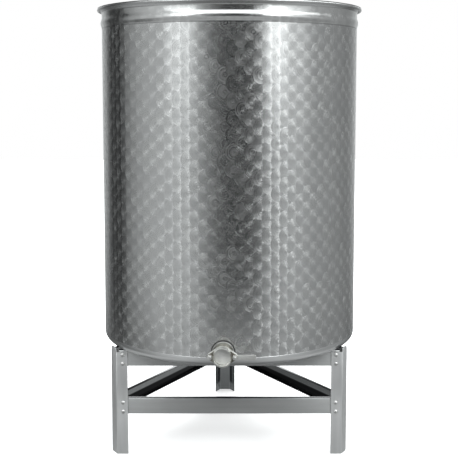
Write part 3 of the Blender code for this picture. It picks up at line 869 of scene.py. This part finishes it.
def make_weld():
    """Weld along the pan's top, with a gap behind the valve."""
    rows = []
    count = ROUND * 3
    for i in range(count):
        angle = 2 * math.pi * i / count
        ripple = 1 + 0.25 * math.sin(angle * WELD_RIPPLES)
        row = []
        for k in range(6):
            turn = 2 * math.pi * k / 6
            r = SHELL_RADIUS - WELD_SINK + WELD_RADIUS * ripple * math.cos(turn)
            row.append((r * math.cos(angle), r * math.sin(angle), BAND_TOP + WELD_HEIGHT * math.sin(turn)))
        rows.append(row)
    bm = grid_mesh(rows, wrap_rows=True)

    def behind_valve(face):
        centre = face.calc_center_median()
        angle = math.atan2(centre.y, centre.x) + math.pi / 2 - VALVE_TURN
        return abs(math.remainder(angle, 2 * math.pi)) < WELD_GAP

    bmesh.ops.delete(bm, geom=[f for f in bm.faces if behind_valve(f)], context="FACES")
    piece("pan_weld", cap(bm), ["smooth"])


def make_lid():
    """Loose lid that rests on the rim."""
    flange = RIM_TOP + SEAT_GAP + SHEET / 2
    foot = RIM_TOP - LID_STEP_DEPTH
    path = [(0, RIM_TOP + LID_RISE), (LID_CROWN_RADIUS, RIM_TOP + LID_RISE)]
    for share in shares(24)[1:]:
        radius = LID_CROWN_RADIUS + (LID_STEP_RADIUS - 0.010 - LID_CROWN_RADIUS) * share
        bulge = LID_BULGE * math.sin(math.pi * share)
        path.append((radius, RIM_TOP + LID_RISE - (LID_RISE + LID_STEP_DEPTH) * share + bulge))
    path += [(LID_STEP_RADIUS - 0.0020, foot), (LID_STEP_RADIUS - 0.0006, foot + 0.0008)]
    path += [(LID_STEP_RADIUS + 0.0002, flange - 0.0012), (LID_STEP_RADIUS + 0.0018, flange)]
    path += [(LID_RADIUS - 0.0012, flange), (LID_RADIUS - 0.0001, flange)]

    def off_top(centre, normal):
        return not (normal.z > FACING and centre.xy.length < LID_STEP_RADIUS - 0.002)

    lid = turned(sheet_outline(path, SHEET), ROUND)
    piece("lid_plate", lid, ["marbled_lid", "smooth"], ["lid"], second=off_top, body="lid")


def make_knob():
    """Fluted knob on the lid."""
    base = RIM_TOP + LID_RISE + SHEET / 2 + SEAT_GAP
    top = base + KNOB_HEIGHT

    def grip(radius, depth):
        return lambda angle: radius - depth * (1 + math.cos(KNOB_FLUTES * angle)) / 2

    rows = [(radius, base + z) for radius, z in KNOB_STEM]
    rows += [(grip(radius, depth), base + z) for radius, depth, z in KNOB_GRIP]
    crown = arc((KNOB_RADIUS - KNOB_CROWN, top - KNOB_CROWN), KNOB_CROWN, 8, 90, 10)
    rows += [(grip(radius, KNOB_FLUTE_DEPTH * (1 - i / 10) ** 2), z) for i, (radius, z) in enumerate(crown)]
    rows += [(radius, top - depth) for radius, depth in KNOB_DISH]
    piece("knob", turned(rows, 144), ["plastic"], ["lid_knob"], body="lid")


# Stand

def stand_corners():
    """Plan corners of the stand, where the outer faces of its sides would meet."""
    side = STAND_CORNER * math.sqrt(3) / 2
    return {
        "front_left": Vector((-side, -STAND_CORNER / 2)),
        "front_right": Vector((side, -STAND_CORNER / 2)),
        "back": Vector((BACK_LEG_SHIFT, STAND_CORNER)),
    }


def inward_of(along, corner):
    """Direction across a side of the stand, towards the tank's axis."""
    inward = Vector((-along.y, along.x))
    return inward if inward.dot(-corner) >= 0 else -inward


def folded_path(corners, radius, steps=8):
    """Outer face of a folded sheet: points along it, each with the direction into the sheet."""
    corners = [Vector(c) for c in corners]
    along = [(b - a).normalized() for a, b in zip(corners, corners[1:])]
    turn_sign = math.copysign(1, along[0].x * along[1].y - along[0].y * along[1].x)
    inward = [Vector((-d.y, d.x)) * turn_sign for d in along]
    path = [(corners[0], inward[0])]
    for i, corner in enumerate(corners[1:-1]):
        before, after = inward[i], inward[i + 1]
        half = before.angle(after) / 2
        centre = corner + (before + after).normalized() * radius / math.cos(half)
        for share in shares(steps):
            normal = before.slerp(after, share).normalized()
            path.append((centre - normal * radius, normal))
    path.append((corners[-1], inward[-1]))
    return path


def sheet_strip(bm, corners, place):
    """Faces across a folded sheet's thickness, one for each step along its path."""
    path = folded_path(corners, FOLD_RADIUS)
    outer = [bm.verts.new(place(p)) for p, n in path]
    inner = [bm.verts.new(place(p + n * STAND_SHEET)) for p, n in path]
    return [bm.faces.new(row) for row in zip(outer, outer[1:], inner[1:], inner)]


def make_leg(name, corner, neighbours):
    """Folded leg: a web across the stand's corner, with a flange along each side."""
    first, last = ((n - corner).normalized() for n in neighbours)
    end = LEG_WEB + LEG_FLANGE
    outline = [corner + first * end, corner + first * LEG_WEB, corner + last * LEG_WEB, corner + last * end]
    bm = bmesh.new()
    strip = sheet_strip(bm, outline, lambda p: (p.x, p.y, 0))
    tops = extrude_faces(bm, strip, (0, 0, LEG_FLANGE_TOP))
    middle = (outline[1] + outline[2]) / 2
    web = min(tops, key=lambda f: (f.calc_center_median().xy - middle).length)
    upstand = extrude_faces(bm, [web], (0, 0, LEG_WEB_TOP - LEG_FLANGE_TOP))[0]
    bmesh.ops.delete(bm, geom=[web], context="FACES_ONLY")
    ends = sorted(upstand.edges, key=lambda e: e.calc_length())[:2]
    bmesh.ops.bevel(bm, geom=ends, offset=WEB_TOP_ROUND, segments=8, profile=0.5, affect="EDGES")
    soften(bm, STAND_EDGE, degrees=60)

    # the legs' inner and upward faces take the mill sheet, darkened as painted shade
    def inside(centre, normal):
        return normal.xy.dot(corner) < -0.02 or normal.z > UPWARD

    finishes = ["upright_sheet", "mill_and_shade_sheet"]
    piece("leg_sheet_" + name, bm, finishes, ["leg_" + name], second=inside)


def make_rail(tier, side, start, end):
    """Channel rail along one side of the stand, with its flanges turned inwards."""
    along = (end - start).normalized()
    inward = inward_of(along, start)
    first = start + along * RAIL_INSET + inward * (STAND_SHEET + SEAT_GAP)
    move = along * ((end - start).length - 2 * RAIL_INSET)
    top = RAIL_TOPS[tier]
    low = top - RAIL_HEIGHT
    middle = (top + low) / 2

    def place(point):
        return (*(first + inward * point.x), point.y)

    # the rails' inner, upward and channel-facing faces take the sheet with painted shade bands
    def inside(centre, normal):
        looks_in = normal.xy.dot(inward) > FACING
        if looks_in and centre.z < low + STAND_SHEET:
            return False
        return looks_in or normal.z > UPWARD or (centre.z - middle) * normal.z < -0.005

    bm = bmesh.new()
    strip = sheet_strip(bm, [(RAIL_FLANGE, top), (0, top), (0, low), (RAIL_FLANGE, low)], place)
    extrude_faces(bm, strip, (*move, 0))
    soften(bm, STAND_EDGE, degrees=60)
    finishes = ["level_sheet", "shaded_sheet"]
    piece(f"{tier}_channel_{side}", bm, finishes, [f"{tier}_rail_{side}"], second=inside)


def stand_bolt():
    """Dome-head bolt through a leg and a rail: head outside, washer and nut inside."""
    sphere = (DOME_RADIUS ** 2 + DOME_HEIGHT ** 2) / (2 * DOME_HEIGHT)
    spread = math.degrees(math.asin(DOME_RADIUS / sphere))
    back = -2 * STAND_SHEET - SEAT_GAP
    tip = back - STAND_NUT_HEIGHT - SHANK_PAST_NUT
    outline = [(0, tip), (SHANK_RADIUS - 0.0004, tip), (SHANK_RADIUS, tip + 0.0005), (SHANK_RADIUS, 0),
               (DOME_RADIUS - 0.0002, 0)] + arc((0, DOME_HEIGHT - sphere), sphere, 90 - spread, 90, 8)
    bm = turned(outline, 24)
    washer = rectangle(*WASHER_RADII, *(back - depth for depth in WASHER_DEPTHS))
    add_body(bm, turned(rounded(washer, 0.0003, 2), 32))
    nut = back - STAND_NUT_GAP
    add_body(bm, hex_body(STAND_NUT_FLATS, nut - STAND_NUT_HEIGHT, nut, SHANK_RADIUS + 0.0001, 48))
    return to_mesh(bm, "stand_bolt")


def make_leg_bolts(name, corner, neighbours, bolt):
    """Bolts of one leg, in four rows on each of its flanges."""
    bm = bmesh.new()
    for turn, neighbour in enumerate(neighbours):
        along = (neighbour - corner).normalized()
        spot = corner + along * (LEG_WEB + BOLT_FROM_WEB)
        out = -inward_of(along, corner).to_3d()
        across = out.orthogonal()
        basis = Matrix((across.normalized(), out.cross(across).normalized(), out)).transposed().to_4x4()
        for row, z in enumerate(BOLT_ROWS):
            copy = bolt.copy()
            place = Matrix.Translation((*spot, z)) @ basis
            copy.transform(place @ Matrix.Rotation(row * BOLT_TURN + turn, 4, "Z"))
            bm.from_mesh(copy)
            bpy.data.meshes.remove(copy)
    piece("stand_bolts_" + name, bm, ["dome"])


def make_stand():
    """Three legs, two tiers of three rails, and the bolts that join them."""
    corners = stand_corners()
    bolt = stand_bolt()
    for name, corner in corners.items():
        neighbours = [c for other, c in corners.items() if other != name]
        make_leg(name, corner, neighbours)
        make_leg_bolts(name, corner, neighbours, bolt)
    bpy.data.meshes.remove(bolt)
    for tier in RAIL_TOPS:
        for side, (first, last) in RAIL_ENDS.items():
            make_rail(tier, side, corners[first], corners[last])


# Valve

def gasket_body():
    """Rubber washer whose back follows the round wall."""
    outer = GASKET_RADIUS

    def back(radius):
        sunk = FACET_RADIUS - SEAT_GAP
        return lambda angle: math.sqrt(SHELL_RADIUS ** 2 - (radius * math.cos(angle)) ** 2) - sunk

    rows = [(radius, back(radius)) for radius in (SPIGOT_BORE, (SPIGOT_BORE + outer) / 2, outer)]
    rows += [(outer + 0.0002, 0.0016), (outer, GASKET_FRONT - GASKET_EDGE)]
    rows += [(outer - 0.0003, GASKET_FRONT - 0.0003), (outer - GASKET_EDGE, GASKET_FRONT)]
    return turned(rows + [(SPIGOT_BORE, GASKET_FRONT)], FINE)


def make_outlet():
    """Threaded stub through the wall, with its nuts and washers."""
    stub = threaded_rod(SPIGOT_RADIUS, SPIGOT_THREAD, *SPIGOT_ENDS, bore=BORE_RADIUS, segments=FINE)
    low = GASKET_FRONT + SEAT_GAP
    corners = [(SPIGOT_BORE, low)] + [(RING_NUT_RADIUS - cut, low + z) for cut, z in RING_NUT_GROOVE]
    corners += [(RING_NUT_RADIUS, RING_NUT_FRONT), (SPIGOT_BORE, RING_NUT_FRONT)]
    ring_nut = turned(rounded(corners, RING_NUT_EDGE), FINE)
    lock_nut = hex_body(LOCK_NUT_FLATS, *LOCK_NUT_ENDS, SPIGOT_BORE)
    piece("outlet_stub", stub, ["machined"], ["outlet_spigot"], VALVE)
    piece("gasket", gasket_body(), ["rubber"], ["outer_gasket"], VALVE)
    piece("collar_nut", ring_nut, ["dull"], ["ring_nut"], VALVE)
    piece("inner_nut", lock_nut, ["machined"], ["lock_nut"], VALVE)


def plate_rows(low, high):
    """Rows of a plate's rim with rounded edges."""
    rows = [(plate_edge(PLATE_EDGE * side), low + PLATE_EDGE * rise) for side, rise in QUARTER]
    return rows + [(plate_edge(PLATE_EDGE * rise), high - PLATE_EDGE * side) for side, rise in QUARTER]


def make_neck():
    """Neck of the valve with the rear plate."""
    low, high = REAR_PLATE
    start = RING_NUT_FRONT + SEAT_GAP
    shoulder = SPIGOT_ENDS[1] + SEAT_GAP
    waist = NECK_RADIUS - NECK_WAIST
    rows = [(SPIGOT_BORE, start)] + [(NECK_RADIUS - cut, start + z) for cut, z in NECK_FOOT]
    rows.append((waist, low - NECK_WAIST_END))
    rows += [(waist + NECK_FILLET * rise, low - NECK_FILLET * side) for side, rise in QUARTER[:-1]]
    rows += plate_rows(low, high)
    rows += [(BORE_RADIUS + BORE_CHAMFER, high), (BORE_RADIUS, high - BORE_CHAMFER)]
    rows += [(BORE_RADIUS, shoulder), (SPIGOT_BORE, shoulder)]

    # painted shade: the neck's recess between the ring nut and the rear plate takes the dark cast finish
    def rough_part(centre, normal):
        return start + 0.001 < centre.z < low - 0.0005 and centre.xy.length > SPIGOT_BORE + 0.0005

    neck = turned(rows, PLATE_FACETS)
    piece("neck", neck, ["machined", "cast_and_shade"], ["valve_neck"], VALVE, rough_part)


def make_front_plate():
    """Front plate of the valve with the outlet's collar."""
    low, high = FRONT_PLATE
    rows = [(COLLAR_BORE, low + COLLAR_CHAMFER), (COLLAR_BORE + COLLAR_CHAMFER, low)]
    rows += plate_rows(low, high)
    rows += [(COLLAR_RADIUS - cut, high + z) for cut, z in COLLAR_FOOT]
    rows += [(COLLAR_RADIUS - cut, COLLAR_FRONT - back) for cut, back in COLLAR_LIP]
    rows += [(COLLAR_BORE + cut, COLLAR_FRONT - back) for cut, back in COLLAR_MOUTH]

    # painted shade: the ears' front faces round the nuts take the dark cast finish
    def on_ear(centre, normal):
        return centre.z > high - 0.0002 and abs(centre.x) > COLLAR_RADIUS * 0.85

    plate = turned(rows, PLATE_FACETS)
    piece("front_body", plate, ["machined", "cast_and_shade"], ["front_plate"], VALVE, on_ear)


def blade_outline():
    """Outline of the blade about its pivot: round disc, slotted ear on the left, lever on the right."""
    tangent = math.degrees(math.acos((BLADE_RADIUS - BLADE_EAR_RADIUS) / EAR_OFFSET))
    disc = (-EAR_OFFSET, 0)
    start = Vector(arc(disc, BLADE_RADIUS, -tangent, -tangent, 1)[0])
    end = Vector(arc((0, 0), BLADE_EAR_RADIUS, -tangent, -tangent, 1)[0])
    lever_foot = start.lerp(end, (LEVER_BOTTOM - start.y) / (end.y - start.y))
    lever_head = math.degrees(math.asin(LEVER_TOP / BLADE_EAR_RADIUS))
    tip = LEVER_TIP - EAR_OFFSET - LEVER_ROUND
    outline = arc(disc, BLADE_RADIUS, tangent, 180 - tangent, 24)
    outline += arc((-2 * EAR_OFFSET, 0), BLADE_EAR_RADIUS, 180 - tangent, 180 + tangent, 16)
    outline += arc(disc, BLADE_RADIUS, 180 + tangent, 360 - tangent, 24)
    outline.append(tuple(lever_foot))
    outline += arc((tip, LEVER_BOTTOM + LEVER_ROUND), LEVER_ROUND, -90, 0, 8)
    outline += arc((tip, LEVER_TOP - LEVER_ROUND), LEVER_ROUND, 0, 90, 8)
    outline += arc((0, 0), BLADE_EAR_RADIUS, lever_head, tangent, 6)
    return outline


def make_blade():
    """Gate blade with its lever, which turns on the right ear's bolt."""
    low, high = BLADE
    ends = (low - 0.001, high + 0.001)
    pin = turned(rectangle(0, BOLT_RADIUS + SEAT_GAP, *ends), 32)
    slot_x = -2 * EAR_OFFSET
    slot = arc((slot_x, 0), SLOT_HALF_WIDTH, 0, 180, 16)
    slot += [(slot_x + side * SLOT_HALF_WIDTH, -0.02) for side in (-1, 1)]
    blade = cut_out(cut_out(prism(blade_outline(), low, high), pin), prism(slot, *ends))
    bmesh.ops.remove_doubles(blade, verts=blade.verts, dist=1e-6)
    soften(blade, BLADE_EDGE)
    line = rectangle(-EAR_OFFSET - BLADE_LINE, -EAR_OFFSET + BLADE_LINE, *BLADE_LINE_ENDS)
    add_body(blade, soften(prism(line, high, high + BLADE_LINE_HEIGHT), 0.0001, segments=1))

    def on_lever(centre, normal):
        return centre.x > -BLADE_EAR_RADIUS

    place = VALVE @ Matrix.Translation((EAR_OFFSET, 0, 0))
    finishes = ["blade_face", "lever"]
    piece("blade", blade, finishes, ["gate_blade"], place, on_lever, body="gate")


def make_ear_bolts():
    """Bolts and nuts of the two ears."""
    head_top = REAR_PLATE[0] - SEAT_GAP
    nut_base = FRONT_PLATE[1] + SEAT_GAP
    for name, side in (("pivot", 1), ("clamp", -1)):
        place = VALVE @ Matrix.Translation((side * EAR_OFFSET, 0, 0))
        bolt = hex_body(NUT_FLATS, head_top - BOLT_HEAD_HEIGHT, head_top, 0.0, 48)
        add_body(bolt, threaded_rod(BOLT_RADIUS, BOLT_THREAD, head_top - 0.001, BOLT_END, segments=32))
        nut = hex_body(NUT_FLATS, nut_base, nut_base + NUT_HEIGHT, BOLT_RADIUS + 0.0001)
        piece(name + "_screw", bolt, ["bright"], [name + "_bolt"], place)
        piece(name + "_hex_nut", nut, ["bright"], [name + "_nut"], place)


# Surroundings, with azimuths from the camera's side and elevations in degrees

BACKDROP = 1.0
HORIZON_LIGHT = (
    # azimuth, light: the backdrop, a black flag, the left wall, the camera's side, the right wall
    (-180, 0.92), (-164, 0.75), (-144, 0.42), (-134, 0.05), (-109, 0.04), (-103, 0.25), (-90, 0.42),
    (-77, 0.54), (-64, 0.60), (-36, 0.64), (-27, 0.44), (-14, 0.13), (-4, 0.03), (14, 0.03), (24, 0.11),
    (33, 0.44), (50, 0.55), (64, 0.54), (80, 0.42), (103, 0.36), (128, 0.26), (141, 0.34), (156, 0.60),
    (180, 0.92),
)
PANELS = (
    # azimuth from, to, elevation from, to, edge, strength
    (-56.0, -31.0, -1.0, 38.0, 6.0, 0.9),
    (-46.0, -36.0, 12.0, 32.0, 4.0, 3.0),
    (31.0, 50.0, -1.0, 38.0, 5.0, 1.8),
    (34.5, 44.5, 12.0, 32.0, 4.0, 4.0),
    (47.0, 72.0, -1.0, 38.0, 8.0, 0.45),
    (-38.0, 140.0, 31.0, 46.0, 4.0, 2.6),
)
TOP_LIGHT = 3.4
TOP_RISE = (42.0, 58.0)
ZENITH_LIGHT = 0.9
ZENITH_RISE = (58.0, 70.0)
REAR_LIGHT = 3.5
REAR_ASIDE = (150.0, 165.0)
REAR_RISE = (10.0, 18.0)
FLOOR_AHEAD = 0.46
FLOOR_ASIDE = 0.68  # of the light above it
AHEAD_EDGE = (30.0, 60.0)
FLOOR_FLANKS = (0.13, 0.28)  # left, right
FLANK_EDGE = (62.0, 82.0)
FLOOR_BEHIND = 0.10
BEHIND_EDGE = (128.0, 146.0)
FLOOR_NEAR = (0.25, 0.52)  # ahead, aside
NEAR_EDGE = (24.0, 44.0)
NEAR_RISE = (-40.0, -24.0)
FLOOR_UNDER = 0.16
UNDER_RISE = (-68.0, -56.0)
FLOOR_RISE = (-18.0, -12.0)
DADO = 0.6  # how far the backdrop darkens towards the floor
DADO_EDGE = (126.0, 140.0)
DADO_RISE = (-18.0, -2.0)
LIGHT_TINT = (0.968, 0.996, 1.0)
FLOOR_GLOW = 0.5
FLOOR_SIZE = 12.0


def horizon_light(graph, azimuth):
    """Light along the horizon."""
    ramp = graph.node("ValToRGB", {0: graph.math("MULTIPLY_ADD", azimuth, 1 / 360, 0.5)})
    elements = ramp.color_ramp.elements
    elements.remove(elements[1])
    for i, (degrees, value) in enumerate(HORIZON_LIGHT):
        place = (degrees + 180) / 360
        element = elements[0] if i == 0 else elements.new(place)
        element.position = place
        element.color = (value, value, value, 1.0)
    return graph.separate(ramp.outputs[0])[0]


def sky_light(graph, azimuth, aside, elevation, level):
    """Light above the horizon: the panels, the top, the rear and the dimmer zenith."""
    light = level
    for start, end, low, high, edge, strength in PANELS:
        across = graph.window(azimuth, start, end, edge)
        panel = graph.times(across, graph.window(elevation, low, high, edge))
        light = graph.math("MULTIPLY_ADD", panel, strength, light)
    light = graph.mix(graph.step(elevation, *TOP_RISE), light, TOP_LIGHT)
    rear = graph.times(graph.step(aside, *REAR_ASIDE), graph.step(elevation, *REAR_RISE))
    light = graph.math("MULTIPLY_ADD", rear, REAR_LIGHT, light)
    return graph.mix(graph.step(elevation, *ZENITH_RISE), light, ZENITH_LIGHT)


def ground_light(graph, azimuth, aside, elevation, level):
    """Light below the horizon: the floor ahead, aside, behind, near the tank and under it."""
    floor = graph.mix(graph.step(aside, *AHEAD_EDGE), FLOOR_AHEAD, graph.times(level, FLOOR_ASIDE))
    flank = graph.step(azimuth, -10.0, 10.0, *FLOOR_FLANKS)
    floor = graph.mix(graph.step(aside, *FLANK_EDGE), floor, flank)
    floor = graph.mix(graph.step(aside, *BEHIND_EDGE), floor, FLOOR_BEHIND)
    near = graph.mix(graph.fall(elevation, *NEAR_RISE), floor, graph.step(aside, *NEAR_EDGE, *FLOOR_NEAR))
    return graph.mix(graph.fall(elevation, *UNDER_RISE), near, FLOOR_UNDER)


def make_world():
    """Soft studio: a bright top, two tall panels beside a dark camera side, a white backdrop."""
    world = bpy.data.worlds.new("studio")
    bpy.context.scene.world = world
    world.use_nodes = True
    graph = Graph(world.node_tree)
    x, y, z = graph.separate(graph.node("TexCoord").outputs["Generated"])
    azimuth = graph.times(graph.azimuth(x, y), 180 / math.pi)
    elevation = graph.times(graph.math("ARCSINE", z), 180 / math.pi)
    aside = graph.math("ABSOLUTE", azimuth)
    level = horizon_light(graph, azimuth)
    sky = sky_light(graph, azimuth, aside, elevation, level)
    ground = ground_light(graph, azimuth, aside, elevation, level)
    light = graph.mix(graph.fall(elevation, *FLOOR_RISE), sky, ground)
    dado = graph.times(graph.step(aside, *DADO_EDGE), graph.step(elevation, *DADO_RISE, DADO, 0.0))
    light = graph.mix(dado, light, FLOOR_BEHIND)
    seen = graph.node("LightPath").outputs["Is Camera Ray"]
    background = graph.node("Background", {
        "Color": graph.tone(seen, LIGHT_TINT, (1.0, 1.0, 1.0)),
        "Strength": graph.mix(seen, light, BACKDROP),
    })
    graph.node("OutputWorld", {"Surface": background.outputs[0]})


def floor_finish(graph, position):
    """Pale matt paint with a faint glow."""
    return {
        "Base Color": graph.tone(graph.noise(position, 3.0, 2.0), (0.90, 0.90, 0.90), (0.92, 0.92, 0.92)),
        "Roughness": 0.9, "Emission Color": (1.0, 1.0, 1.0, 1.0), "Emission Strength": FLOOR_GLOW,
    }


def make_floor():
    """Plain pale floor."""
    bm = bmesh.new()
    bmesh.ops.create_grid(bm, x_segments=1, y_segments=1, size=FLOOR_SIZE)
    mesh = to_mesh(bm, "floor")
    mesh.materials.append(new_material("floor", floor_finish))
    floor = add_object("floor", mesh)
    floor.visible_glossy = False


def make_camera():
    """Camera at the height of the tank's upper third, looking slightly down."""
    data = bpy.data.cameras.new("camera")
    data.sensor_width = SENSOR
    data.lens = FOCAL_PIXELS / PICTURE * SENSOR
    data.shift_x, data.shift_y = (pixels / PICTURE for pixels in SHIFT_PIXELS)
    camera = add_object("camera", data)
    camera.location = (0, TANK_Y - EYE_DISTANCE, EYE_HEIGHT)
    camera.rotation_euler = (math.radians(90) - EYE_TILT, 0, 0)
    bpy.context.scene.camera = camera
    bpy.context.scene.view_settings.view_transform = "Standard"


def main():
    """Dress the whole tank and set the stage."""
    for make in (make_wall, make_seam, make_pan, make_weld, make_lid, make_knob, make_stand, make_outlet,
                 make_neck, make_front_plate, make_blade, make_ear_bolts, make_world, make_floor,
                 make_camera):
        make()
    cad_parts["inner_washer"].material_slots[0].material = FINISHES["rubber"]


main()
